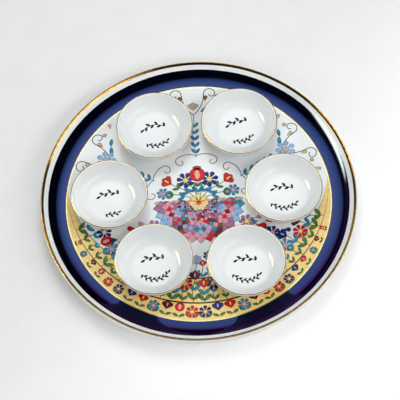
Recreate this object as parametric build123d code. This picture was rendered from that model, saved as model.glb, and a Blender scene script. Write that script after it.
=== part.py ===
from build123d import *
from math import atan2, cos, degrees, radians, sin
import os

# Seder plate: a round porcelain plate with six identical small bowls standing loose on its well.
# Millimetres. The origin is the centre of the plate on the table, +Z is up, and -Y is the near side.

# Bowl
BOWL_RADIUS = 40.5          # outermost edge of the lip
BOWL_HEIGHT = 21.0          # foot to lip
BOWL_SIDE = 20.25           # level run from the edge of the bowl's floor to the outermost edge
BOWL_CURVE = 17.0           # inside radius at the edge of the floor
BOWL_TURN = 35.0            # slope in degrees where that curve passes into the gentler side
BOWL_WALL = 3.2             # floor and lower side
BOWL_LIP = 1.1              # radius of the rounded lip
BOWL_FOOT_OUT = 2.75        # the foot ring's outside stands this far out from the edge of the floor
BOWL_FOOT_WIDTH = 3.2
BOWL_FOOT_HEIGHT = 2.0
BOWL_FOOT_ROUND = 0.8       # rounding on the edges of the foot ring
BOWL_FOOT_ROOT = 0.9        # hollow where the foot ring grows out of the base

# How the bowls stand on the plate
BOWL_GAP = 11.0             # between neighbouring lips
WELL_MARGIN = 1.5           # from the ring of bowls to the edge of the well
HAND_NUDGE = 1.0            # one step off the ring, for a bowl set down by hand

# Plate
RIM_WIDTH = 31.0            # level run from the edge of the well to the outermost edge
RIM_RISE = 10.4             # top of the lip above the well
PLATE_FLOOR = 5.5           # wall under the well
PLATE_LIP = 1.1             # radius of the rounded lip
EDGE_DROP = 5.9             # upright outer face under the lip
EDGE_ROUND = 2.0            # radius under that face
FOOT_INSET = 22.0           # from the edge of the well in to the outside of the foot ring
FOOT_WIDTH = 7.0
FOOT_HEIGHT = 4.5
FOOT_ROUND = 1.4            # rounding on the edges of the foot ring
FOOT_ROOT = 2.0             # hollow where the foot ring grows out of the base
UNDERSIDE_FLAT = 14.0       # level stretch outside the foot ring, before the underside rises

# Each bowl was set down by hand: its bearing on the ring in degrees, and how many nudges out it stands
BOWL_PLACES = {
    "bowl_back_left": (117.0, 0.5),
    "bowl_back_right": (59.5, 2.4),
    "bowl_right": (-1.0, -3.0),
    "bowl_front_right": (-61.4, 2.0),
    "bowl_front_left": (-123.3, -2.2),
    "bowl_left": (178.0, 0.5),
}

# Sizes that follow from those above
BOWL_FLOOR_RADIUS = BOWL_RADIUS - BOWL_SIDE
BOWL_FOOT_RADIUS = BOWL_FLOOR_RADIUS + BOWL_FOOT_OUT
BOWL_RING = 2 * BOWL_RADIUS + BOWL_GAP      # six bowls on a ring stand one ring radius apart
WELL_RADIUS = BOWL_RING + BOWL_RADIUS + WELL_MARGIN
WELL_HEIGHT = FOOT_HEIGHT + PLATE_FLOOR
PLATE_RADIUS = WELL_RADIUS + RIM_WIDTH
FOOT_RADIUS = WELL_RADIUS - FOOT_INSET


def add_foot(section, radius, width, height, seat, edge_round, root_round):
    """Grow a foot ring out of the base of a half section, with rounded edges and hollowed roots."""
    top = height + seat
    ring = Location((radius - width / 2, top / 2)) * Rectangle(width, top)
    footed = section + ring
    roots = [
        footed.vertices().sort_by_distance((radius, height))[0],
        footed.vertices().sort_by_distance((radius - width, height))[0],
    ]
    footed = fillet(roots, root_round)
    return fillet(footed.vertices().group_by(Axis.Y)[0], edge_round)


def turn(section):
    """Spin a half section about the upright axis."""
    return revolve(Plane.XZ * section, Axis.Z)


def touching_arc(start, slope, circle, touch):
    """Arc that leaves a point at a slope and meets a circle without a corner, and its slope there.

    touch is the circle's radius: positive where the two lie side by side, negative where the arc
    goes round the circle.
    """
    lean = radians(slope)
    run = circle[0] - start[0]
    rise = circle[1] - start[1]
    radius = (run**2 + rise**2 - touch**2) / (2 * (touch + rise * cos(lean) - run * sin(lean)))
    centre = (start[0] - radius * sin(lean), start[1] + radius * cos(lean))
    end_slope = 90 + degrees(atan2(circle[1] - centre[1], circle[0] - centre[0]))
    return CenterArc(centre, radius, slope - 90, end_slope - slope), end_slope


def plate_section():
    """Half section of the plate without its foot: well, rim curve, lip, upright edge, underside."""
    lip_centre = (PLATE_RADIUS - PLATE_LIP, WELL_HEIGHT + RIM_RISE - PLATE_LIP)
    edge_centre = (PLATE_RADIUS - EDGE_ROUND, lip_centre[1] - EDGE_DROP)

    # The rim curve leaves the well level, and the underside leaves the base level
    rim, rim_slope = touching_arc((WELL_RADIUS, WELL_HEIGHT), 0, lip_centre, PLATE_LIP)
    under_start = (FOOT_RADIUS + UNDERSIDE_FLAT, FOOT_HEIGHT)
    under, under_slope = touching_arc(under_start, 0, edge_centre, -EDGE_ROUND)
    lip = CenterArc(lip_centre, PLATE_LIP, 90 + rim_slope, -90 - rim_slope)
    edge = CenterArc(edge_centre, EDGE_ROUND, 0, under_slope - 90)

    axis_top = (0, WELL_HEIGHT)
    axis_bottom = (0, FOOT_HEIGHT)
    well = Line(axis_top, rim @ 0)
    face = Line(lip @ 1, edge @ 0)
    base = Line(under @ 0, axis_bottom)
    axis = Line(axis_bottom, axis_top)
    return make_face([well, rim, lip, face, edge, under, base, axis])


def bowl_section():
    """Half section of a bowl without its foot: floor, curve, gentler side, lip, outside."""
    floor_z = BOWL_FOOT_HEIGHT + BOWL_WALL
    curve_centre = (BOWL_FLOOR_RADIUS, floor_z + BOWL_CURVE)
    lip_centre = (BOWL_RADIUS - BOWL_LIP, BOWL_HEIGHT - BOWL_LIP)

    # The outside runs alongside the inside, one wall away at the floor and tapering to the lip
    inside = CenterArc(curve_centre, BOWL_CURVE, -90, BOWL_TURN)
    outside = CenterArc(curve_centre, BOWL_CURVE + BOWL_WALL, -90, BOWL_TURN)
    inside_side, inside_slope = touching_arc(tuple(inside @ 1), BOWL_TURN, lip_centre, BOWL_LIP)
    outside_side, outside_slope = touching_arc(tuple(outside @ 1), BOWL_TURN, lip_centre, -BOWL_LIP)
    lip = CenterArc(lip_centre, BOWL_LIP, 90 + inside_slope, outside_slope - inside_slope - 180)

    axis_top = (0, floor_z)
    axis_bottom = (0, BOWL_FOOT_HEIGHT)
    floor = Line(axis_top, inside @ 0)
    base = Line(outside @ 0, axis_bottom)
    axis = Line(axis_bottom, axis_top)
    return make_face([floor, inside, inside_side, lip, outside_side, outside, base, axis])


def make_plate():
    section = plate_section()
    seat = PLATE_FLOOR / 2
    section = add_foot(section, FOOT_RADIUS, FOOT_WIDTH, FOOT_HEIGHT, seat, FOOT_ROUND, FOOT_ROOT)
    return turn(section)


def make_bowl():
    section = bowl_section()
    seat = BOWL_WALL / 2
    section = add_foot(
        section, BOWL_FOOT_RADIUS, BOWL_FOOT_WIDTH, BOWL_FOOT_HEIGHT, seat, BOWL_FOOT_ROUND, BOWL_FOOT_ROOT
    )
    return turn(section)


def place_bowl(bowl, bearing, nudges):
    """Stand a bowl on the well, at its bearing on the ring of bowls."""
    reach = BOWL_RING + nudges * HAND_NUDGE
    x = reach * cos(radians(bearing))
    y = reach * sin(radians(bearing))
    return Location((x, y, WELL_HEIGHT)) * bowl


pieces = {"plate": make_plate()}
for name, (bearing, nudges) in BOWL_PLACES.items():
    pieces[name] = place_bowl(make_bowl(), bearing, nudges)

os.makedirs("parts", exist_ok=True)
for name, piece in pieces.items():
    export_step(piece, f"parts/{name}.step")
    size = piece.bounding_box().size
    print(f"{name}: {size.X:.1f} x {size.Y:.1f} x {size.Z:.1f} mm, {piece.volume / 1000:.1f} cm3")
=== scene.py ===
# %% [markdown]
# # A seder plate with six small bowls
# The real object is seven pieces of white porcelain: a wide plate with an upturned rim, and six bowls that
# stand loose on it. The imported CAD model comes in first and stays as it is. It says where everything is,
# and every piece made below is drawn in the same metres, in the same place.

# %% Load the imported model
from math import asin, atan2, cos, degrees, pi, radians, sin, sqrt

import bmesh
import bpy
from mathutils import Matrix, Vector


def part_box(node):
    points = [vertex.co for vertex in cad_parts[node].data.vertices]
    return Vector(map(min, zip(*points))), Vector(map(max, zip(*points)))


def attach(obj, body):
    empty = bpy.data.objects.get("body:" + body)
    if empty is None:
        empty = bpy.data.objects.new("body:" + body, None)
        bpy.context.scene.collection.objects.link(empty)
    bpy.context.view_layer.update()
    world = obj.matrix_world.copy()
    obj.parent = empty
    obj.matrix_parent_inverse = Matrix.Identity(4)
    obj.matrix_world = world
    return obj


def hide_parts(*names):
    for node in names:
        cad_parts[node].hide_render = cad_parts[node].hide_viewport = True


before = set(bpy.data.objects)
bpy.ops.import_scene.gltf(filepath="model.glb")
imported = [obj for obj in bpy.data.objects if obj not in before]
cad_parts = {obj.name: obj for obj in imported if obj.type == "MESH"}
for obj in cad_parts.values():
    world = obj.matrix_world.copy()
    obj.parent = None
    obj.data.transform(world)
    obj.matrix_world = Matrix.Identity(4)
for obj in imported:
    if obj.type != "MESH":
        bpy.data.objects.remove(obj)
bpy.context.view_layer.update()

MM = 0.001
bowl_names = sorted(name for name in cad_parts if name.startswith("bowl"))

# %% [markdown]
# ## Writing finishes as sums
# A glaze is never one flat colour: its tone drifts, its gloss varies, and its skin is not quite even. Such
# things are sums of noise, and sums are easier to read as Python than as boxes and wires. So one small
# class holds an output socket, and adding or multiplying two of them adds the Math node that does it.

# %% A wire that can be calculated with
class Wire:
    """One output socket of a material's nodes. Arithmetic on wires adds Math nodes."""

    def __init__(self, tree, socket=None):
        self.tree = tree
        self.socket = socket

    def node(self, kind, settings=None, sockets=None, out=0):
        """Add a node of any kind: its settings first, then the values or links of its sockets."""
        made = self.tree.nodes.new(kind)
        for name, value in (settings or {}).items():
            setattr(made, name, value)
        for name, value in (sockets or {}).items():
            if isinstance(value, Wire):
                self.tree.links.new(value.socket, made.inputs[name])
            else:
                made.inputs[name].default_value = value
        return Wire(self.tree, made.outputs[out] if len(made.outputs) else None)

    def maths(self, operation, first, second):
        return self.node("ShaderNodeMath", {"operation": operation}, {0: first, 1: second})

    def __add__(self, other):
        return self.maths("ADD", self, other)

    def __radd__(self, other):
        return self.maths("ADD", other, self)

    def __sub__(self, other):
        return self.maths("SUBTRACT", self, other)

    def __rsub__(self, other):
        return self.maths("SUBTRACT", other, self)

    def __mul__(self, other):
        return self.maths("MULTIPLY", self, other)

    def __rmul__(self, other):
        return self.maths("MULTIPLY", other, self)

    def __pow__(self, power):
        return self.maths("POWER", self, power)

    def __abs__(self):
        return self.node("ShaderNodeMath", {"operation": "ABSOLUTE"}, {0: self})

    def axis(self, letter):
        """This place's X, Y or Z."""
        return self.node("ShaderNodeSeparateXYZ", {}, {0: self}, out=letter)

    def length(self):
        """How far this place is from the origin."""
        return self.node("ShaderNodeVectorMath", {"operation": "LENGTH"}, {0: self}, out="Value")

    def step(self, start, end):
        """0 below start, 1 above end, and a smooth rise between."""
        return self.node(
            "ShaderNodeMapRange", {"interpolation_type": "SMOOTHSTEP"},
            {"Value": self, "From Min": start, "From Max": end},
        )

    def between(self, first, second):
        """A colour: the first where this wire is 0, the second where it is 1."""
        return self.node("ShaderNodeMix", {"data_type": "RGBA"}, {0: self, 6: first, 7: second}, out=2)

    def noise(self, size, detail=2.0):
        """Cloudy noise with patches about this many metres across, read at this wire's place."""
        return self.node("ShaderNodeTexNoise", {}, {"Vector": self, "Scale": 1 / size, "Detail": detail})

    def bump(self, depth):
        """A surface normal that follows this wire as a height, where 1 stands for this many metres."""
        return self.node("ShaderNodeBump", {}, {"Height": self, "Distance": depth, "Strength": 1.0})


def new_finish(name):
    """An empty material, and the wire that gives each point's place on the object."""
    material = bpy.data.materials.new(name)
    material.use_nodes = True
    tree = material.node_tree
    tree.nodes.clear()
    return material, Wire(tree).node("ShaderNodeTexCoord", out="Object")


def fire(place, varying, constant):
    """Close a finish with its shader: what varies is linked, what is the same all over is set."""
    shader = place.node("ShaderNodeBsdfPrincipled", {}, {**constant, **varying})
    place.node("ShaderNodeOutputMaterial", {}, {"Surface": shader})


# %% [markdown]
# ## White glaze
# Porcelain is a white body under a clear, hard glaze. From a step away it is an even, slightly cool white
# with sharp reflections. Close up the tone drifts a little, and the glaze has a faint unevenness that
# softens the edges of what it mirrors. Both come from noise, at the sizes that they have on real ware.

# %% White glaze and bare foot
WHITE_SHADE = (0.785, 0.815, 0.812, 1)
WHITE_LIGHT = (0.840, 0.862, 0.852, 1)
BISCUIT_CLEAN = (0.74, 0.71, 0.66, 1)
BISCUIT_STAINED = (0.62, 0.57, 0.50, 1)


def white_glaze(name):
    material, place = new_finish(name)
    drift = place.noise(45 * MM)
    ripple = place.noise(7 * MM, 1.0)
    fire(
        place,
        {
            "Base Color": drift.step(0.3, 0.7).between(WHITE_SHADE, WHITE_LIGHT),
            "Roughness": 0.10 + 0.06 * drift,
            "Normal": ripple.bump(0.012 * MM),
        },
        {"IOR": 1.52, "Specular IOR Level": 0.3, "Coat Weight": 0.15, "Coat Roughness": 0.12},
    )
    return material


def bare_foot(name):
    """The underside of a foot ring is wiped clean before firing, so it stays matt."""
    material, place = new_finish(name)
    grain = place.noise(0.8 * MM, 3.0)
    stain = place.noise(12 * MM)
    fire(
        place,
        {
            "Base Color": stain.step(0.35, 0.75).between(BISCUIT_CLEAN, BISCUIT_STAINED),
            "Roughness": 0.72 + 0.2 * grain,
            "Normal": grain.bump(0.03 * MM),
        },
        {"IOR": 1.5},
    )
    return material


plate_glaze = white_glaze("plate_white_glaze")
bowl_glaze = white_glaze("bowl_white_glaze")
foot_biscuit = bare_foot("bare_foot_ring")
print("finishes:", plate_glaze.name, bowl_glaze.name, foot_biscuit.name)

# %% [markdown]
# ## Cobalt band and gold lustre
# The band is cobalt painted under the glaze: nearly black where it mirrors the dark of the room, royal blue
# where it mirrors a lamp. A dark blue base with a blue mirror tint gives both. On the near side the cobalt
# runs thin towards the outside, and its mirror turns violet there, so two shaders are mixed. The clear glaze
# over it is thickest along both edges of the band, where it also mirrors some white.
#
# The lines are gold lustre, a film of metal fired on and rubbed thin in a few places, where the glaze shows
# through. On the ring around the well it is thin and pale. On the lips it is thick and bright, and mirrors
# both the lamps and the dark room.

# %% Cobalt and gold
COBALT_DEEP = (0.0003, 0.0002, 0.0010, 1)
COBALT_PALE = (0.0012, 0.0010, 0.0060, 1)
COBALT_MIRROR = (0.11, 0.25, 1.0, 1)
VIOLET_MIRROR = (0.28, 0.07, 1.0, 1)
# painted reflection: a faint violet put into the cobalt's colour on the near right of the band's outer part
VIOLET_PAINTED_REFLECTION = (0.011, 0.0028, 0.030, 1)
GLAZE_THIN = 149.5 * MM                 # radius of the line along which the clear glaze is thinnest
FRINGE = (145.5 * MM, 149.5 * MM)       # radii between which the mirror turns violet
PAINTED_REFLECTION_RADII = (153.0 * MM, 155.5 * MM)   # radii between which a violet reflection is painted into the colour on the near right
THIN_GOLD = ((0.36, 0.31, 0.12, 1), (0.46, 0.41, 0.18, 1))
THICK_GOLD = ((0.30, 0.165, 0.034, 1), (0.47, 0.30, 0.080, 1))


def cobalt_glaze(name):
    """Blue, with a violet fringe on the near side, and a violet reflection painted into its colour on the
    near right.
    """
    material, place = new_finish(name)
    wash = place.noise(16 * MM, 4.0)
    speck = place.noise(1.2 * MM, 3.0)
    ripple = place.noise(9 * MM, 1.0)
    mottle = wash.step(0.3, 0.75) * 0.8 + speck.step(0.6, 0.8) * 0.2
    reach = place.length()
    near = (0 - place.axis("Y")).step(40 * MM, 110 * MM)
    near_right = (place.axis("X") - place.axis("Y")).step(60 * MM, 140 * MM)
    # painted reflection: the outer part of the band on the near right is tinted violet in its colour
    glow = near_right * reach.step(*PAINTED_REFLECTION_RADII)
    coat = 0.05 + 0.16 * abs(reach - GLAZE_THIN).step(1 * MM, 8 * MM)
    finish = {
        "Base Color": glow.between(mottle.between(COBALT_DEEP, COBALT_PALE), VIOLET_PAINTED_REFLECTION),
        "Roughness": 0.05 + 0.05 * wash,
        "Coat Weight": coat * (1 - 0.95 * near),
        "Normal": ripple.bump(0.012 * MM),
        "IOR": 1.9,
        "Specular IOR Level": 0.29,
        "Coat Roughness": 0.05,
    }
    blue = place.node("ShaderNodeBsdfPrincipled", {}, {**finish, "Specular Tint": COBALT_MIRROR})
    violet = place.node("ShaderNodeBsdfPrincipled", {}, {**finish, "Specular Tint": VIOLET_MIRROR})
    fringe = near * reach.step(*FRINGE)
    fired = place.node("ShaderNodeMixShader", {}, {0: fringe, 1: blue, 2: violet})
    place.node("ShaderNodeOutputMaterial", {}, {"Surface": fired})
    return material


def gold_lustre(name, deep, pale, matt):
    material, place = new_finish(name)
    burnish = place.noise(4 * MM, 3.0)
    rub = place.noise(2.2 * MM, 2.0).step(0.78, 0.86)
    fire(
        place,
        {
            "Base Color": rub.between(burnish.step(0.3, 0.7).between(deep, pale), WHITE_SHADE),
            "Metallic": 1 - rub,
            "Roughness": matt + 0.08 * burnish,
            "Normal": burnish.bump(0.006 * MM),
        },
        {"IOR": 1.5},
    )
    return material


cobalt = cobalt_glaze("cobalt_band")
ring_gold = gold_lustre("thin_gold_lustre", *THIN_GOLD, 0.18)
lip_gold = gold_lustre("thick_gold_lustre", *THICK_GOLD, 0.07)
print("finishes:", cobalt.name, ring_gold.name, lip_gold.name)

# %% [markdown]
# ## A lathe for clay
# Plates and bowls are thrown or jiggered: a half section turned about an upright axis. The lathe below draws
# that half section as the potter sees it, stroke by stroke, as straight lines and true arcs. Each stroke is
# spun at once and keeps its own finish, so a line of gold ends exactly where its stroke ends.

# %% From shape to object
def settle(shape, name, finishes):
    """Make an object of a finished bmesh, with its finishes, and say how large it is."""
    open_edges = sum(not edge.is_manifold for edge in shape.edges)
    mesh = bpy.data.meshes.new(name)
    shape.to_mesh(mesh)
    shape.free()
    for finish in finishes:
        mesh.materials.append(finish)
    piece = bpy.data.objects.new(name, mesh)
    bpy.context.scene.collection.objects.link(piece)
    mesh.calc_loop_triangles()
    print(f"{name}: {len(mesh.loop_triangles)} triangles, {open_edges} open edges")
    return piece


# %% The lathe
WELD = 0.002 * MM           # points closer than this become one


class Lathe:
    """A pen that draws a half section about an upright axis, turning each stroke as it goes."""

    def __init__(self, name, axis, start, finishes, turns):
        self.name = name
        self.axis = Vector((axis[0], axis[1], 0)) * MM
        self.height = axis[2]
        self.tip = start
        self.finishes = finishes
        self.turns = turns
        self.clay = bmesh.new()

    def point(self, r, z):
        return self.axis + Vector((r, 0, z + self.height)) * MM

    def turn(self, stroke, finish):
        """Spin one stroke right round, and add it to the clay."""
        bmesh.ops.spin(
            stroke, geom=stroke.verts[:] + stroke.edges[:], cent=self.axis, axis=(0, 0, 1),
            angle=2 * pi, steps=self.turns, use_merge=True,
        )
        for face in stroke.faces:
            face.material_index = self.finishes.index(finish)
            face.smooth = True
        ring = bpy.data.meshes.new("stroke")
        stroke.to_mesh(ring)
        stroke.free()
        self.clay.from_mesh(ring)
        bpy.data.meshes.remove(ring)

    def line(self, r, z, finish, parts=1):
        """A straight stroke from the pen's tip to this radius and height."""
        stroke = bmesh.new()
        start = stroke.verts.new(self.point(*self.tip))
        drawn = bmesh.ops.extrude_vert_indiv(stroke, verts=[start])
        bmesh.ops.translate(stroke, verts=drawn["verts"], vec=self.point(r, z) - start.co)
        if parts > 1:
            bmesh.ops.subdivide_edges(stroke, edges=stroke.edges[:], cuts=parts - 1)
        self.tip = (r, z)
        self.turn(stroke, finish)

    def arc(self, centre, sweep, finish, steps):
        """A round stroke about a centre, by a sweep in degrees that is positive anticlockwise."""
        stroke = bmesh.new()
        start = stroke.verts.new(self.point(*self.tip))
        bmesh.ops.spin(
            stroke, geom=[start], cent=self.point(*centre), axis=(0, -1, 0),
            angle=radians(sweep), steps=steps,
        )
        turned = Matrix.Rotation(radians(sweep), 2) @ (Vector(self.tip) - Vector(centre))
        self.tip = tuple(Vector(centre) + turned)
        self.turn(stroke, finish)

    def take_off(self):
        """Weld the strokes into one closed piece, as an object at the origin."""
        bmesh.ops.remove_doubles(self.clay, verts=self.clay.verts, dist=WELD)
        bmesh.ops.recalc_face_normals(self.clay, faces=self.clay.faces)
        return settle(self.clay, self.name, self.finishes)


# %% [markdown]
# ## The plate
# From the middle out: a flat well, a rim that curves up without a corner, a rounded lip, an upright edge,
# and an underside that sweeps back to the foot ring. The sizes repeat the solid's, with a slightly sharper
# lip. A thin gold line lies where the rim starts to rise, the cobalt band on the slope above it, then a line
# of white, and gold over the lip.

# %% Plate sizes in millimetres
PLATE_TURNS = 360
PLATE_RADIUS = 165.0
WELL_RADIUS = 134.0
WELL_HEIGHT = 10.0
LIP_HEIGHT = 20.4
LIP_ROUND = 0.6
EDGE_DROP = 6.4
EDGE_ROUND = 2.0
FOOT_RADIUS = 112.0
FOOT_WIDTH = 7.0
FOOT_HEIGHT = 4.5
FOOT_ROUND = 1.4
FOOT_ROOT = 2.0
UNDER_RADIUS = 126.0        # where the underside starts to rise

GOLD_RING_INNER = 138.4
BAND_INNER = 139.4
BAND_OUTER = 157.7
LIP_GOLD_INNER = 162.0
LIP_GOLD_END = 35           # direction on the lip's circle, in degrees above level


def touching_curve(start, slope, circle, touch):
    """Centre, radius and last slope of the arc that leaves a point at a slope and meets a circle smoothly.

    touch is the circle's radius: positive where the two lie side by side, negative where the arc goes round
    the circle.
    """
    lean = radians(slope)
    run = circle[0] - start[0]
    rise = circle[1] - start[1]
    radius = (run**2 + rise**2 - touch**2) / (2 * (touch + rise * cos(lean) - run * sin(lean)))
    centre = (start[0] - radius * sin(lean), start[1] + radius * cos(lean))
    return centre, radius, 90 + degrees(atan2(circle[1] - centre[1], circle[0] - centre[0]))


lip_centre = (PLATE_RADIUS - LIP_ROUND, LIP_HEIGHT - LIP_ROUND)
edge_centre = (PLATE_RADIUS - EDGE_ROUND, lip_centre[1] - EDGE_DROP)
rim_centre, RIM_CURVE, rim_slope = touching_curve((WELL_RADIUS, WELL_HEIGHT), 0, lip_centre, LIP_ROUND)
under_start = (UNDER_RADIUS, FOOT_HEIGHT)
under_centre, _, under_slope = touching_curve(under_start, 0, edge_centre, -EDGE_ROUND)
print(f"rim curve {RIM_CURVE:.1f} mm up to a slope of {rim_slope:.1f} degrees")


def rim_angle(radius):
    """How far round the rim curve a given radius lies, in degrees."""
    return degrees(asin((radius - WELL_RADIUS) / RIM_CURVE))


# %% Turn the plate
def turn_foot(lathe, radius, width, height, edge, root, glaze, biscuit):
    """Draw a foot ring in the base, from the foot of its outside root to its inside root."""
    lathe.line(radius, edge, glaze)
    lathe.arc((radius - edge, edge), -45, glaze, steps=4)
    lathe.arc((radius - edge, edge), -45, biscuit, steps=4)
    lathe.line(radius - width + edge, 0, biscuit)
    lathe.arc((radius - width + edge, edge), -45, biscuit, steps=4)
    lathe.arc((radius - width + edge, edge), -45, glaze, steps=4)
    lathe.line(radius - width, height - root, glaze)
    lathe.arc((radius - width - root, height - root), 90, glaze, steps=8)


PLATE_FINISHES = [plate_glaze, cobalt, ring_gold, lip_gold, foot_biscuit]
lathe = Lathe("plate_body", (0, 0, 0), (0, WELL_HEIGHT), PLATE_FINISHES, PLATE_TURNS)
lathe.line(WELL_RADIUS, WELL_HEIGHT, plate_glaze, parts=10)
EDGES = (GOLD_RING_INNER, BAND_INNER, BAND_OUTER, LIP_GOLD_INNER)
ring_start, band_start, band_end, gold_start = (rim_angle(radius) for radius in EDGES)
lathe.arc(rim_centre, ring_start, plate_glaze, steps=4)
lathe.arc(rim_centre, band_start - ring_start, ring_gold, steps=2)
lathe.arc(rim_centre, band_end - band_start, cobalt, steps=18)
lathe.arc(rim_centre, gold_start - band_end, plate_glaze, steps=5)
lathe.arc(rim_centre, rim_slope - gold_start, lip_gold, steps=2)
lathe.arc(lip_centre, LIP_GOLD_END - 90 - rim_slope, lip_gold, steps=4)
lathe.arc(lip_centre, -LIP_GOLD_END, plate_glaze, steps=9)
lathe.line(PLATE_RADIUS, edge_centre[1], plate_glaze)
lathe.arc(edge_centre, under_slope - 90, plate_glaze, steps=8)
lathe.arc(under_centre, -under_slope, plate_glaze, steps=10)
lathe.line(FOOT_RADIUS + FOOT_ROOT, FOOT_HEIGHT, plate_glaze)
lathe.arc((FOOT_RADIUS + FOOT_ROOT, FOOT_HEIGHT - FOOT_ROOT), 90, plate_glaze, steps=8)
turn_foot(lathe, FOOT_RADIUS, FOOT_WIDTH, FOOT_HEIGHT, FOOT_ROUND, FOOT_ROOT, plate_glaze, foot_biscuit)
lathe.line(0, FOOT_HEIGHT, plate_glaze, parts=8)
plate = lathe.take_off()
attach(plate, "plate")
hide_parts("plate")

# %% [markdown]
# ## The bowls
# All six come from one mould: a flat floor, a tight curve, a side that bends on more gently, and a thin
# rounded lip with a line of gold on it. They were set down by hand, so each one's place is read from its
# CAD box.

# %% Bowl sizes in millimetres
BOWL_TURNS = 200
BOWL_RADIUS = 40.5
BOWL_HEIGHT = 21.0
BOWL_FLOOR_RADIUS = 20.25
BOWL_FLOOR = 5.2
BOWL_BASE = 2.0
BOWL_CURVE = 17.0
BOWL_TURN = 35.0            # slope where that curve passes into the gentler side
BOWL_LIP = 1.1
BOWL_FOOT_RADIUS = 23.0
BOWL_FOOT_WIDTH = 3.2
BOWL_FOOT_ROUND = 0.8
BOWL_FOOT_ROOT = 0.9
BOWL_GOLD = (95, 42)        # directions on the lip's circle, in degrees above level


def on_circle(centre, radius, direction):
    """The point of a circle that lies in a direction, in degrees."""
    return centre[0] + radius * cos(radians(direction)), centre[1] + radius * sin(radians(direction))


curve_centre = (BOWL_FLOOR_RADIUS, BOWL_FLOOR + BOWL_CURVE)
bowl_lip_centre = (BOWL_RADIUS - BOWL_LIP, BOWL_HEIGHT - BOWL_LIP)
inside_start = on_circle(curve_centre, BOWL_CURVE, BOWL_TURN - 90)
OUTSIDE_ROUND = BOWL_CURVE + BOWL_FLOOR - BOWL_BASE
outside_start = on_circle(curve_centre, OUTSIDE_ROUND, BOWL_TURN - 90)
inside = touching_curve(inside_start, BOWL_TURN, bowl_lip_centre, BOWL_LIP)
outside = touching_curve(outside_start, BOWL_TURN, bowl_lip_centre, -BOWL_LIP)
inside_centre, INSIDE_CURVE, inside_slope = inside
outside_centre, OUTSIDE_CURVE, outside_slope = outside
print(f"bowl sides {INSIDE_CURVE:.1f} mm inside and {OUTSIDE_CURVE:.1f} mm outside")

# The hollow at the foot's outside touches both the bowl's curve and the foot's upright side
root_run = BOWL_FOOT_RADIUS + BOWL_FOOT_ROOT - BOWL_FLOOR_RADIUS
root_drop = sqrt((OUTSIDE_ROUND + BOWL_FOOT_ROOT)**2 - root_run**2)
root_centre = (curve_centre[0] + root_run, curve_centre[1] - root_drop)
root_slope = degrees(atan2(root_run, root_drop))


def bowl_centre(name):
    """The middle of a bowl's place on the plate, in millimetres, from its CAD box."""
    low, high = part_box(name)
    return (low.x + high.x) / 2 / MM, (low.y + high.y) / 2 / MM


# %% Turn the bowls
BOWL_FINISHES = [bowl_glaze, lip_gold, foot_biscuit]


def turn_bowl(name):
    x, y = bowl_centre(name)
    lathe = Lathe(name + "_body", (x, y, WELL_HEIGHT), (0, BOWL_FLOOR), BOWL_FINISHES, BOWL_TURNS)
    lathe.line(BOWL_FLOOR_RADIUS, BOWL_FLOOR, bowl_glaze, parts=4)
    lathe.arc(curve_centre, BOWL_TURN, bowl_glaze, steps=8)
    lathe.arc(inside_centre, inside_slope - BOWL_TURN, bowl_glaze, steps=10)
    lathe.arc(bowl_lip_centre, BOWL_GOLD[0] - 90 - inside_slope, bowl_glaze, steps=4)
    lathe.arc(bowl_lip_centre, BOWL_GOLD[1] - BOWL_GOLD[0], lip_gold, steps=6)
    lathe.arc(bowl_lip_centre, outside_slope - 90 - BOWL_GOLD[1], bowl_glaze, steps=6)
    lathe.arc(outside_centre, BOWL_TURN - outside_slope, bowl_glaze, steps=10)
    lathe.arc(curve_centre, root_slope - BOWL_TURN, bowl_glaze, steps=8)
    lathe.arc(root_centre, 90 - root_slope, bowl_glaze, steps=6)
    turn_foot(
        lathe, BOWL_FOOT_RADIUS, BOWL_FOOT_WIDTH, BOWL_BASE, BOWL_FOOT_ROUND, BOWL_FOOT_ROOT,
        bowl_glaze, foot_biscuit,
    )
    lathe.line(0, BOWL_BASE, bowl_glaze, parts=4)
    bowl = lathe.take_off()
    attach(bowl, name)
    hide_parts(name)


for name in bowl_names:
    turn_bowl(name)

# %% [markdown]
# ## Enamel colours
# The garden in the well is printed in ceramic enamels and fired on. Enamel is glass with a stain in it: the
# colour pools and thins a little within each shape, and it shines like the glaze around it. Here every
# colour gets one finish with two close tones, and later one thin raised film, as silk-screened enamel
# leaves. The order is the printer's: a colour further down the list lies over those above it.

# %% Enamel finishes
def tone(red, green, blue):
    """A colour given as a screen shows it, 0 to 255, as the linear value that a shader takes."""
    return tuple((part / 255) ** 2.2 for part in (red, green, blue)) + (1,)


def enamel_finish(name, thin, pooled):
    material, place = new_finish("enamel_" + name)
    pool = place.noise(3.5 * MM, 3.0)
    grain = place.noise(0.5 * MM, 2.0)
    fire(
        place,
        {
            "Base Color": (0.75 * pool + 0.25 * grain).step(0.32, 0.68).between(pooled, thin),
            "Roughness": 0.08 + 0.10 * grain,
            "Normal": pool.bump(0.01 * MM),
        },
        {"IOR": 1.5, "Specular IOR Level": 0.12},
    )
    return material


ENAMELS = {
    "ochre": (tone(248, 218, 146), tone(238, 202, 120)),
    "ink": (tone(34, 29, 36), tone(16, 13, 19)),
    "grey": (tone(150, 154, 160), tone(112, 116, 124)),
    "green": (tone(86, 140, 84), tone(50, 98, 58)),
    "turquoise": (tone(52, 152, 184), tone(20, 114, 152)),
    "navy": (tone(46, 56, 136), tone(24, 28, 92)),
    "brown": (tone(142, 86, 64), tone(104, 56, 44)),
    "maroon": (tone(112, 40, 52), tone(80, 22, 36)),
    "tan": (tone(216, 182, 136), tone(190, 150, 102)),
    "red": (tone(220, 36, 40), tone(186, 20, 30)),
    "mauve": (tone(176, 124, 156), tone(142, 90, 128)),
    "sky": (tone(154, 194, 226), tone(118, 166, 208)),
    "pink": (tone(232, 164, 176), tone(212, 130, 148)),
    "yellow": (tone(248, 220, 130), tone(236, 196, 92)),
}
enamels = {name: enamel_finish(name, *tones) for name, tones in ENAMELS.items()}
print("enamels:", ", ".join(enamels))

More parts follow.
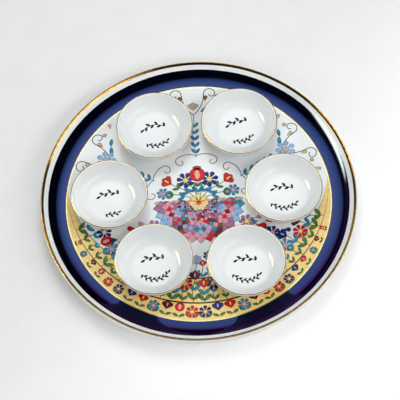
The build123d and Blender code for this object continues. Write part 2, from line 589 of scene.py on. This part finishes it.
# %% [markdown]
# ## Motifs for the print
# The well carries a garden in the way of folk embroidery: a basket of flowers in the middle, flowering
# plants on a golden ground along the near rim, and sprays between the bowls. It is all made of a few shapes:
# dots, lozenges, leaves, petals and brush lines. A pen draws half of a shape and a mirror closes it; a brush
# drags a short edge along to paint a line.

# %% Pen and brush
SEAM = 0.001 * MM           # points closer than this become one
BRUSH_STEP = 12             # degrees of bend in each step of a brush line


class Pen:
    """Draws the right half of a flat motif, upwards from its foot. Its mirror image closes it."""

    def __init__(self, x=0.0, y=0.0):
        self.flat = bmesh.new()
        self.tip = self.flat.verts.new(Vector((x, y, 0)) * MM)

    def line(self, x, y):
        self.tip = bmesh.ops.extrude_vert_indiv(self.flat, verts=[self.tip])["verts"][0]
        self.tip.co = Vector((x, y, 0)) * MM
        return self

    def arc(self, x, y, sweep, steps):
        spun = bmesh.ops.spin(
            self.flat, geom=[self.tip], cent=Vector((x, y, 0)) * MM, axis=(0, 0, 1),
            angle=radians(sweep), steps=steps,
        )
        self.tip = spun["geom_last"][0]
        return self

    def close(self, name):
        half = self.flat.verts[:] + self.flat.edges[:]
        bmesh.ops.mirror(self.flat, geom=half, merge_dist=SEAM, axis="X")
        bmesh.ops.remove_doubles(self.flat, verts=self.flat.verts, dist=SEAM)
        bmesh.ops.edgeloop_fill(self.flat, edges=self.flat.edges)
        return as_motif(self.flat, name)


class Brush:
    """Paints a line of even width, starting at the origin and heading up."""

    def __init__(self, width):
        self.flat = bmesh.new()
        self.place = Matrix.Identity(4)
        ends = [self.flat.verts.new(Vector((side * width / 2, 0, 0)) * MM) for side in (-1, 1)]
        self.edge = [*ends, self.flat.edges.new(ends)]

    def bend(self, radius, sweep):
        """Curve round a centre on the left, or on the right where the sweep is negative."""
        side = -radius if sweep > 0 else radius
        centre = self.place @ (Vector((side, 0, 0)) * MM)
        steps = max(3, round(abs(sweep) / BRUSH_STEP))
        spun = bmesh.ops.spin(
            self.flat, geom=self.edge, cent=centre, axis=(0, 0, 1),
            angle=radians(sweep), steps=steps,
        )
        self.edge = spun["geom_last"]
        about = Matrix.Translation(centre)
        self.place = about @ Matrix.Rotation(radians(sweep), 4, "Z") @ about.inverted() @ self.place
        return self

    def lift(self, name):
        return as_motif(self.flat, name)


def as_motif(flat, name):
    """Keep a flat shape as a mesh that can be printed many times."""
    motif = bpy.data.meshes.new(name)
    flat.to_mesh(motif)
    flat.free()
    return motif


def dot(radius, segments=16):
    flat = bmesh.new()
    bmesh.ops.create_circle(flat, cap_ends=True, segments=segments, radius=radius * MM)
    return as_motif(flat, "dot")


def leaf(length, width):
    """Two arcs that meet in a point at each end."""
    radius = (length**2 + width**2) / (4 * width)
    sweep = 2 * degrees(asin(length / 2 / radius))
    return Pen().arc(width / 2 - radius, length / 2, sweep, 7).close("leaf")


def petal(length, radius):
    """A drop: straight sides from a point to a round end."""
    middle = length - radius
    lean = asin(radius / middle)
    side = Pen().line(radius * cos(lean), middle - radius * sin(lean))
    return side.arc(0, middle, 90 + degrees(lean), 8).close("petal")


def lozenge(length, width):
    return Pen().line(width / 2, length / 2).line(0, length).close("lozenge")


# %% [markdown]
# ## Stamping
# A screen printer lays one colour at a time. So does this: each colour has a sheet, every motif is stamped
# on its colour's sheet, and a slightly larger copy goes on the dark sheet below it, which leaves a fine
# outline. Places are given outwards from the middle of the plate, as they are on a turntable.

# %% Stamps
INK_LINE = 0.46             # width of the dark outline, in millimetres
sheets = {name: bmesh.new() for name in ENAMELS}


def stamp(sheet, motif, place):
    """Copy a motif onto a sheet, at its place."""
    first = len(sheet.verts)
    sheet.from_mesh(motif)
    sheet.verts.ensure_lookup_table()
    bmesh.ops.transform(sheet, matrix=place, verts=sheet.verts[first:])


def plain(colour, motif, place):
    stamp(sheets[colour], motif, place)


def outlined(colour, motif, place):
    """Stamp a motif in a colour, on a dark copy that is larger by the outline."""
    corners = [vert.co for vert in motif.vertices]
    low = Vector(map(min, *corners))
    high = Vector(map(max, *corners))
    middle = Matrix.Translation((low + high) / 2)
    grown = [1 + 2 * INK_LINE * MM / side for side in (high - low).xy]
    plain("ink", motif, place @ middle @ Matrix.Diagonal((*grown, 1, 1)) @ middle.inverted())
    plain(colour, motif, place)


def at(x, y, heading=90):
    """A place in millimetres; the motif's top points along the heading, in degrees."""
    return Matrix.Translation(Vector((x, y, 0)) * MM) @ Matrix.Rotation(radians(heading - 90), 4, "Z")


def out(bearing, reach, heading=0):
    """A place at a bearing and reach from the middle; headings are counted from straight outwards."""
    x = reach * cos(radians(bearing))
    y = reach * sin(radians(bearing))
    return at(x, y, bearing + heading)


KEEP = Matrix.Identity(4)
FLIP = Matrix.Diagonal((-1, 1, 1, 1))


def mirrored(colour, motif, middle, side):
    """Stamp an outlined motif to one side of a place, and its mirror image to the other."""
    for hand in (KEEP, FLIP):
        outlined(colour, motif, middle @ hand @ at(*side))


# %% Flowers
def daisy(place, size, colour, heart):
    """Seven petals about an eye."""
    drop = petal(size, size * 0.27)
    for count in range(7):
        outlined(colour, drop, place @ at(0, 0, 90 + 360 * count / 7) @ at(0, size * 0.18))
    outlined(heart, dot(size * 0.36), place)


def tulip(place, size, colour, heart):
    """Three petals in a cup."""
    side = petal(size, size * 0.25)
    for lean in (30, -30):
        outlined(colour, side, place @ at(0, 0, 90 + lean))
    outlined(colour, petal(size * 1.08, size * 0.24), place)
    plain(heart, leaf(size * 0.6, size * 0.2), place @ at(0, size * 0.3))


def pomegranate(place, size, colour, heart):
    """A round fruit with a crown and a split that shows its seeds."""
    for lean in (32, 0, -32):
        outlined(colour, petal(size * 0.8, size * 0.17), place @ at(0, size * 1.5, 90 + lean))
    outlined(colour, dot(size, 24), place @ at(0, size))
    plain(heart, leaf(size * 1.5, size * 0.75), place @ at(0, size * 0.25))
    for row in (0.6, 1.0, 1.4):
        plain("yellow", dot(size * 0.14, 10), place @ at(0, size * row))


def leaf_pair(place, colour, length, width, spread):
    """Two leaves that leave a stem on both sides."""
    for side in (spread, -spread):
        outlined(colour, leaf(length, width), place @ at(0, 0, 90 + side))


GROW = {"daisy": daisy, "tulip": tulip, "pomegranate": pomegranate}

# %% [markdown]
# ## The golden ground
# The near part of the print stands on a golden crescent that follows the rim, deepest at the front. It
# starts as one short edge across its depth, spun part of the way round, and is then pinched towards its two
# ends. Two dark strips of the same crescent border it and part its two rows of flowers.

# %% Golden crescent
GROUND_OUTER = 138.4
GROUND_DEPTH = 47.0
GROUND_REACH = 98           # degrees to each side of the front
GROUND_STEPS = 98
GROUND_TIP = 0.05           # depth that is left at the two ends
FRONT = 270


def ground_depth(offset):
    """Depth of the crescent at an angle from the front, in millimetres."""
    return max(GROUND_DEPTH * cos(radians(90 * offset / GROUND_REACH)), GROUND_TIP)


def crescent(first, last, cuts):
    """The part of the crescent between two shares of its depth, counted from the rim."""
    flat = bmesh.new()
    inner = flat.verts.new(Vector((GROUND_OUTER - last * GROUND_DEPTH, 0, 0)) * MM)
    outer = bmesh.ops.extrude_vert_indiv(flat, verts=[inner])["verts"][0]
    outer.co.x = (GROUND_OUTER - first * GROUND_DEPTH) * MM
    bmesh.ops.subdivide_edges(flat, edges=flat.edges[:], cuts=cuts)
    start = Matrix.Rotation(radians(FRONT - GROUND_REACH), 3, "Z")
    bmesh.ops.rotate(flat, verts=flat.verts, matrix=start)
    edge = flat.verts[:] + flat.edges[:]
    bmesh.ops.spin(flat, geom=edge, axis=(0, 0, 1), angle=radians(2 * GROUND_REACH), steps=GROUND_STEPS)
    for vert in flat.verts:
        offset = (degrees(atan2(vert.co.y, vert.co.x)) - FRONT + 180) % 360 - 180
        share = (GROUND_OUTER - vert.co.length / MM) / GROUND_DEPTH
        vert.co = vert.co.normalized() * (GROUND_OUTER - share * ground_depth(offset)) * MM
    return as_motif(flat, "crescent")


plain("ochre", crescent(first=0, last=1, cuts=9), KEEP)
plain("ink", crescent(first=1.0, last=1.035, cuts=1), KEEP)
plain("ink", crescent(first=0.405, last=0.44, cuts=1), KEEP)
print(f"golden ground {GROUND_DEPTH} mm deep at the front")

# %% [markdown]
# ## Plants on the ground
# Two rows grow on the crescent, as in a herb bed: low flowers within the gold, and tall ones that rise from
# its inner part towards the middle. Each plant is a stem, some leaves and a flower, and a short list of
# flowers and colours is walked through in turn, so that neighbours differ. Three more fill the gap between
# the two near bowls.

# %% Plant the bed
PLANTS = [
    ("tulip", "red", "yellow"),
    ("daisy", "navy", "yellow"),
    ("pomegranate", "red", "pink"),
    ("daisy", "turquoise", "pink"),
    ("tulip", "navy", "sky"),
    ("daisy", "red", "yellow"),
    ("tulip", "maroon", "pink"),
]
# Height, distance to the right of the middle, flower's size, flower, colour, heart
CENTRE_PLANTS = [
    (26, 0.0, 6.5, "tulip", "red", "yellow"),
    (34, -6.0, 4.4, "daisy", "sky", "pink"),
    (38, 6.5, 4.4, "daisy", "navy", "yellow"),
]
TALL_STEP = 5.6             # degrees between the tall flowers
TALL_EACH_SIDE = 14
TALL_SIZES = {"daisy": 6.2, "tulip": 9.4, "pomegranate": 5.2}
LOW_STEP = 6.0              # degrees between the low ones
LOW_EACH_SIDE = 12
LOW_SIZES = {"daisy": 0.12, "tulip": 0.19, "pomegranate": 0.10}     # shares of the crescent's depth
STALK_BEND = 60             # radius of a stalk's bends
stalk = Brush(0.9).bend(STALK_BEND, 10).bend(STALK_BEND, -20).bend(STALK_BEND, 10).lift("stalk")
STALK_LENGTH = STALK_BEND * radians(40)


def stem(place, height):
    """A green stalk, stretched to this height."""
    plain("green", stalk, place @ Matrix.Diagonal((1, height / STALK_LENGTH, 1, 1)))


def plant(place, height, size, kind, colour, heart):
    """A stalk of this height with two pairs of leaves, and a flower of this size on top."""
    stem(place, height)
    leaf_pair(place @ at(0, height * 0.15), "green", size * 1.1, size * 0.38, 42)
    leaf_pair(place @ at(0, height * 0.55), "turquoise", size * 0.95, size * 0.34, 40)
    GROW[kind](place @ at(0, height), size, colour, heart)


for count in range(-TALL_EACH_SIDE, TALL_EACH_SIDE + 1):
    offset = count * TALL_STEP
    kind, colour, heart = PLANTS[count % len(PLANTS)]
    foot = out(FRONT + offset, GROUND_OUTER - ground_depth(offset) * 0.42, 180)
    plant(foot, 17 + 4.5 * (count % 3), TALL_SIZES[kind], kind, colour, heart)
for height, side, size, kind, colour, heart in CENTRE_PLANTS:
    foot = at(side, -(GROUND_OUTER - GROUND_DEPTH * 0.75))
    plant(foot, height, size, kind, colour, heart)

for count in range(-LOW_EACH_SIDE, LOW_EACH_SIDE + 1):
    offset = count * LOW_STEP
    depth = ground_depth(offset)
    kind, colour, heart = PLANTS[(count * 3 + 1) % len(PLANTS)]
    foot = out(FRONT + offset, GROUND_OUTER - depth * 0.21, 180)
    GROW[kind](foot, LOW_SIZES[kind] * depth, colour, heart)
    leaves = out(FRONT + offset, GROUND_OUTER - depth * 0.06, 180)
    leaf_pair(leaves, "green", depth * 0.16, depth * 0.06, 58)
print(f"bed of {2 * TALL_EACH_SIDE + 1} tall and {2 * LOW_EACH_SIDE + 1} low flowers")

# %% [markdown]
# ## The basket of flowers
# The middle is a woven basket: rings of lozenges below the level of its rim, in the pinks, mauves and blues
# of patchwork. Every ring has the same number of lozenges and starts half a step on, so that they interlock
# like a woven mat and grow towards the outside. Stems fan out above it.

# %% Basket
BASKET_HEIGHT = -2.0        # level of the basket's rim, from the middle of the plate
BASKET_REACH = 49.0
WEAVE_START = 10.0
WEAVE_COUNT = 15            # lozenges in half a ring
WEAVE_STRETCH = 1.06        # how much longer than wide a lozenge is
WEAVE_GAP = 0.5             # white between neighbouring lozenges
WEAVE = ["pink", "mauve", "sky", "pink", "red", "mauve", "turquoise", "pink", "maroon", "sky", "brown"]

step = pi / WEAVE_COUNT
growth = 1 + step / 2 * WEAVE_STRETCH
reach = WEAVE_START
ring = 0
while reach * growth < BASKET_REACH:
    tile = lozenge(2 * reach * (growth - 1) - WEAVE_GAP, reach * step - WEAVE_GAP)
    for number in range(WEAVE_COUNT + ring % 2):
        turn = 180 + degrees(step) * (number + 0.5 - 0.5 * (ring % 2))
        colour = WEAVE[(number * 4 + ring * ring * 3) % len(WEAVE)]
        outlined(colour, tile, at(0, BASKET_HEIGHT) @ out(turn, reach / growth))
    reach *= growth
    ring += 1
print(f"basket woven of {ring} rings of {WEAVE_COUNT}")

daisy(at(0, BASKET_HEIGHT), 8.6, "yellow", "red")
RIM_LEAVES = 11
RIM_STEP = 8.45
RIM_START = -46.5
rim_leaf = leaf(8.4, 3.2)
for number in range(RIM_LEAVES):
    colour = "brown" if number % 2 else "tan"
    outlined(colour, rim_leaf, at(RIM_START + RIM_STEP * number, BASKET_HEIGHT + 1.4, 0))

# %% Bouquet
# Bearing and length of the stem, flower, size, colour, heart; those to the right are mirrored to the left
BOUQUET = [
    (90, 22, "pomegranate", 8.0, "red", "pink"),
    (62, 27, "daisy", 7.6, "navy", "yellow"),
    (36, 34, "tulip", 10.5, "red", "yellow"),
    (14, 38, "daisy", 5.4, "turquoise", "pink"),
]
for bearing, reach, kind, size, colour, heart in BOUQUET:
    hands = (KEEP, FLIP) if bearing < 90 else (KEEP,)
    for hand in hands:
        root = at(0, BASKET_HEIGHT + 3) @ hand @ at(0, 0, bearing)
        stem(root, reach)
        leaf_pair(root @ at(0, reach * 0.4), "turquoise", 8, 2.8, 36)
        leaf_pair(root @ at(0, reach * 0.72), "green", 7, 2.6, 42)
        GROW[kind](root @ at(0, reach), size, colour, heart)
print(f"bouquet of {2 * len(BOUQUET) - 1} flowers")

# %% [markdown]
# ## Sprays between the bowls
# A spray fills each gap. At the back it is light: a stem with leaves through the narrow place between two
# bowls, fine dark scrolls, and a flower in sky blue or tan where the gap widens towards the rim. To the left
# and right it is denser, in red and navy. Each kind is drawn once, pointing outwards.

# %% Light sprays
# Bearing of the gap, then the buds' colour, and the flower, its colour and its heart
SPRAYS = {
    30: ("tan", "daisy", "sky", "tan"),
    90: ("brown", "tulip", "tan", "sky"),
    150: ("tan", "daisy", "sky", "tan"),
}
NECK_BEND = 74              # radius of a neck's bends
neck = Brush(1.0).bend(NECK_BEND, 10).bend(NECK_BEND, -20).bend(NECK_BEND, 10).lift("neck")
scroll = Brush(0.9).bend(34, -50).bend(6, 180).bend(3.4, 170).lift("scroll")
curl = Brush(0.8).bend(20, -60).bend(5, -150).bend(2.6, -150).lift("curl")

for bearing, (buds, kind, colour, heart) in SPRAYS.items():
    plain("grey", neck, out(bearing, 52))
    for reach in (57, 65, 73, 81, 89):
        leaf_pair(out(bearing, reach), "turquoise", 7, 2.6, 38)
    for hand in (KEEP, FLIP):
        plain("ink", scroll, out(bearing, 104) @ hand @ at(0, 0, 140))
        plain("ink", curl, out(bearing, 54) @ hand @ at(0, 0, 25))
    mirrored("turquoise", leaf(10, 3.4), out(bearing, 106), (-8, 2, 150))
    mirrored("turquoise", leaf(9, 3.0), out(bearing, 112), (-17, 2, 160))
    mirrored(buds, petal(6.5, 1.8), out(bearing, 118), (-13, 3, 100))
    mirrored(buds, dot(1.8), out(bearing, 125), (-26, 1))
    mirrored(buds, petal(5.5, 1.5), out(bearing, 124), (-36, 0, 135))
    GROW[kind](out(bearing, 110), 8.5, colour, heart)
print(f"{len(SPRAYS)} light sprays")

# %% Dense sprays
for bearing in (210, 330):
    plain("navy", neck, out(bearing, 50))
    for reach in (60, 76, 90):
        leaf_pair(out(bearing, reach), "turquoise", 8, 2.9, 42)
    daisy(out(bearing, 56), 6.6, "mauve", "yellow")
    tulip(out(bearing, 67), 10.5, "red", "yellow")
    daisy(out(bearing, 86), 6.4, "navy", "pink")
    mirrored("pink", petal(6.5, 1.9), out(bearing, 62), (-8, 0, 130))
    mirrored("red", petal(8, 2.4), out(bearing, 73), (-9, 0, 125))
    mirrored("navy", petal(7, 2.1), out(bearing, 95), (-8, 0, 120))
print("stamped:", ", ".join(f"{len(sheet.faces)} {colour}" for colour, sheet in sheets.items()))

# %% [markdown]
# ## Firing the print
# Enamel stands a little proud of the glaze. Each sheet is raised into a thin closed film, a colour further
# down the list a little higher than the one before it, and is then bent up where the well starts to curve.

# %% Fire the print
FILM_FIRST = 0.05           # height of the lowest colour's film, in millimetres
FILM_STEP = 0.015           # each later colour stands this much higher
FILM_SINK = 0.05            # how far the film is fused into the glaze


def raise_film(sheet, height, level):
    """Raise a flat sheet into a closed film on a level surface, fused a little way into it."""
    raised = bmesh.ops.extrude_face_region(sheet, geom=sheet.faces[:], use_keep_orig=True)
    top = [part for part in raised["geom"] if isinstance(part, bmesh.types.BMVert)]
    bmesh.ops.translate(sheet, verts=top, vec=Vector((0, 0, height + FILM_SINK)) * MM)
    bmesh.ops.translate(sheet, verts=sheet.verts, vec=Vector((0, 0, level - FILM_SINK)) * MM)
    bmesh.ops.recalc_face_normals(sheet, faces=sheet.faces)


for number, (colour, sheet) in enumerate(sheets.items()):
    raise_film(sheet, FILM_FIRST + FILM_STEP * number, WELL_HEIGHT)
    for vert in sheet.verts:
        beyond = max(vert.co.xy.length / MM - WELL_RADIUS, 0)
        vert.co.z += (RIM_CURVE - sqrt(RIM_CURVE**2 - beyond**2)) * MM
    film = settle(sheet, "print_" + colour, [enamels[colour]])
    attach(film, "plate")

# %% [markdown]
# ## A sprig in each bowl
# On the floor of every bowl are two dark sprigs: a short one that arches over the top and a longer one that
# follows the curve of the floor below. The number of leaves differs, so that each bowl can be told by its
# own.

# %% Sprigs
# Leaves on the upper and the lower sprig, and the bowl's turn in degrees
SPRIGS = {
    "bowl_back_left": (5, 8, 6),
    "bowl_back_right": (4, 7, 10),
    "bowl_right": (4, 10, -4),
    "bowl_front_right": (4, 11, -6),
    "bowl_front_left": (4, 11, 0),
    "bowl_left": (4, 4, 4),
}
SPRIG_ABOVE = 9.6           # reach of the upper sprig from the middle of the floor
SPRIG_BELOW = 16.4
ARCH_DROP = 8               # the upper sprig's arc is centred this far below the middle
LEAF_LEAN = 44


def sprig(sheet, middle, reach, leaves, pitch, size):
    """A twig along an arc about a middle, with leaves on its two sides by turns and one at its end."""
    span = pitch * (leaves + 1)
    twig = Brush(0.8).bend(reach, span).lift("twig")
    stamp(sheet, twig, middle @ out(-span / 2, reach, 90))
    for number in range(leaves + 2):
        place = middle @ out(pitch * number - span / 2, reach, 90)
        lean = LEAF_LEAN if number % 2 else -LEAF_LEAN
        if number > leaves:
            lean = 0
        stamp(sheet, leaf(size, size * 0.46), place @ at(0, 0, 90 + lean))


for name, (above, below, turn) in SPRIGS.items():
    sheet = bmesh.new()
    middle = at(*bowl_centre(name), 90 + turn)
    arch = middle @ at(0, -ARCH_DROP, 180)
    sprig(sheet, arch, SPRIG_ABOVE + ARCH_DROP, above, pitch=13, size=5.6)
    sprig(sheet, middle @ at(0, 0, 0), SPRIG_BELOW, below, pitch=9, size=4.4)
    raise_film(sheet, FILM_FIRST, WELL_HEIGHT + BOWL_FLOOR)
    film = settle(sheet, name + "_sprig", [enamels["ink"]])
    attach(film, name)

# %% [markdown]
# ## Floor
# The ware stands on a wide sheet of white paper. Paper in a studio is lit apart from the ware, so it is
# lifted towards white where it is looked at or mirrored: more far off, and a little on the near right, where
# the lift is painted light. The lift adds no light to the ware, and the paper keeps the shadow.

# %% Floor
FLOOR_SIZE = 12.0
PAPER = ((0.875, 0.875, 0.865, 1), (0.895, 0.895, 0.885, 1))
NO_LIFT = (0, 0, 0, 1)
# painted light: the paper is made brighter towards the near right
NEAR_RIGHT_PAINTED_LIGHT = (0.18, 0.18, 0.18, 1)
FAR_LIFT = (0.80, 0.80, 0.80, 1)


def floor_paper():
    material, place = new_finish("floor_paper")
    fibre = place.noise(30 * MM, 4.0)
    # painted light: where the paper is lifted brighter towards the near right
    near_right = (place.axis("X") - place.axis("Y")).step(-0.12, 0.26)
    far = place.length().step(0.5, 2.5)
    lift = far.between(near_right.between(NO_LIFT, NEAR_RIGHT_PAINTED_LIGHT), FAR_LIFT)
    kinds = ("Camera", "Glossy", "Transmission")
    looked_at = sum(place.node("ShaderNodeLightPath", out=f"Is {kind} Ray") for kind in kinds)
    fire(
        place,
        {
            "Base Color": fibre.step(0.3, 0.7).between(*PAPER),
            "Roughness": 0.8 + 0.1 * fibre,
            "Emission Color": looked_at.between(NO_LIFT, lift),
        },
        {"IOR": 1.3, "Emission Strength": 1.0},
    )
    return material


sheet = bmesh.new()
bmesh.ops.create_grid(sheet, x_segments=4, y_segments=4, size=FLOOR_SIZE / 2)
floor = settle(sheet, "floor", [floor_paper()])

# %% [markdown]
# ## Light
# A studio for shiny ware is mostly one large cloth panel overhead, so that the glaze has something pale to
# mirror, with a dark room around it. The panel fades from its middle to its edge, which is what gives the
# cobalt its changing blue. A softbox on the right throws the shadow to the left. A small warm one on the
# left only draws highlights, and three weak fills open the shadows without showing in the glaze.

# %% Lamps
WHITE = (1, 1, 1)
COOL = (0.95, 0.98, 1.0)
WARM = (1.0, 0.80, 0.28)
LAMPS = {
    "overhead_panel": {
        "place": (-0.035, 0.432, 0.860), "aim": (-0.035, -0.237, 0.117), "along": (1, 0, 0),
        "size": (0.80, 1.06), "radiance": 3.2, "colour": COOL, "oval": True,
    },
    "right_key": {
        "place": (0.84, -0.33, 0.88), "along": (0.54, 0.81, -0.25), "size": (1.5, 0.30), "radiance": 3.5,
    },
    "left_strip": {
        "place": (-0.715, 0.305, 0.92), "along": (-0.02, -0.45, 0.12),
        "size": (0.58, 0.19), "radiance": 60.0, "colour": WARM, "oval": True,
    },
    "front_fill": {
        "place": (0, -0.9, 1.25), "along": (0.9, 0, 0), "size": (2.0, 1.0), "radiance": 1.15,
    },
    "left_fill": {
        "place": (-1.3, -0.35, 0.6), "along": (0.35, -1.3, 0), "size": (1.4, 0.8), "radiance": 1.9,
    },
    "right_fill": {
        "place": (1.3, -0.35, 0.6), "along": (0.35, 1.3, 0), "size": (1.4, 0.8), "radiance": 1.7,
    },
}


def fade(lamp):
    """Let an oval lamp glow less from its middle to its edge, as a cloth panel does."""
    lamp.use_nodes = True
    lamp.node_tree.nodes.clear()
    cloth = Wire(lamp.node_tree)
    spot = cloth.node("ShaderNodeNewGeometry", out="Parametric")
    middle = {0: spot, 1: (0.5, 0.5, 0)}
    away = 2 * cloth.node("ShaderNodeVectorMath", {"operation": "DISTANCE"}, middle, out="Value")
    glow = cloth.node("ShaderNodeEmission", {}, {"Strength": 1 - away**4})
    cloth.node("ShaderNodeOutputLight", {}, {"Surface": glow})


def softbox(name, place, along, size, radiance, aim=(0, 0, 0), colour=WHITE, oval=False):
    """A soft lamp that faces a point, with its width along a direction. The camera doesn't see it."""
    lamp = bpy.data.lights.new(name, "AREA")
    lamp.shape = "ELLIPSE" if oval else "RECTANGLE"
    lamp.size, lamp.size_y = size
    area = size[0] * size[1]
    if oval:
        area *= pi / 4
        fade(lamp)
    lamp.energy = radiance * pi * area
    lamp.color = colour
    facing = (Vector(place) - Vector(aim)).normalized()
    across = (Vector(along) - facing * facing.dot(along)).normalized()
    box = bpy.data.objects.new(name, lamp)
    box.location = place
    box.rotation_euler = Matrix((across, facing.cross(across), facing)).transposed().to_euler()
    box.visible_camera = False
    bpy.context.scene.collection.objects.link(box)
    return box


lamps = {name: softbox(name, **settings) for name, settings in LAMPS.items()}
lamps["left_strip"].visible_diffuse = False
for side in ("front", "left", "right"):
    lamps[side + "_fill"].visible_glossy = False
print("lamps:", ", ".join(lamps))

# %% Room
ROOM_DARK = (0.03, 0.03, 0.033, 1)
ROOM_PALE = (0.92, 0.92, 0.92, 1)       # near the level of the floor, where low views look past its edge
world = bpy.data.worlds.new("studio")
bpy.context.scene.world = world
world.use_nodes = True
world.node_tree.nodes.clear()
sky = Wire(world.node_tree)
height = sky.node("ShaderNodeTexCoord", out="Generated").axis("Z")
room = height.step(0.14, 0.07).between(ROOM_DARK, ROOM_PALE)
sky.node("ShaderNodeOutputWorld", {}, {"Surface": sky.node("ShaderNodeBackground", {}, {"Color": room})})
bpy.context.scene.view_settings.view_transform = "Standard"
print("room:", world.name)

# %% [markdown]
# ## Camera
# The camera stands far off with a long lens, as for a catalogue, so that the far bowls look as large as the
# near ones. Its height, turn and lens were fitted to the ring around the well, the lip and the bowls' rims.

# %% Camera
CAMERA_AIM = Vector((1.38, 0.38, 10.0)) * MM
CAMERA_DISTANCE = 2.0
CAMERA_ELEVATION = 61.83
CAMERA_ROLL = -3.51
CAMERA_LENS = 171.67
SENSOR_WIDTH = 36
forward = Vector((0, cos(radians(CAMERA_ELEVATION)), -sin(radians(CAMERA_ELEVATION))))
camera = bpy.data.objects.new("camera", bpy.data.cameras.new("camera"))
camera.data.lens = CAMERA_LENS
camera.data.sensor_width = SENSOR_WIDTH
camera.location = CAMERA_AIM - CAMERA_DISTANCE * forward
camera.rotation_mode = "QUATERNION"
roll = Matrix.Rotation(radians(CAMERA_ROLL), 4, "Z").to_quaternion()
camera.rotation_quaternion = forward.to_track_quat("-Z", "Y") @ roll
bpy.context.scene.collection.objects.link(camera)
bpy.context.scene.camera = camera
print(f"camera {CAMERA_DISTANCE} m off, {CAMERA_ELEVATION} degrees up")
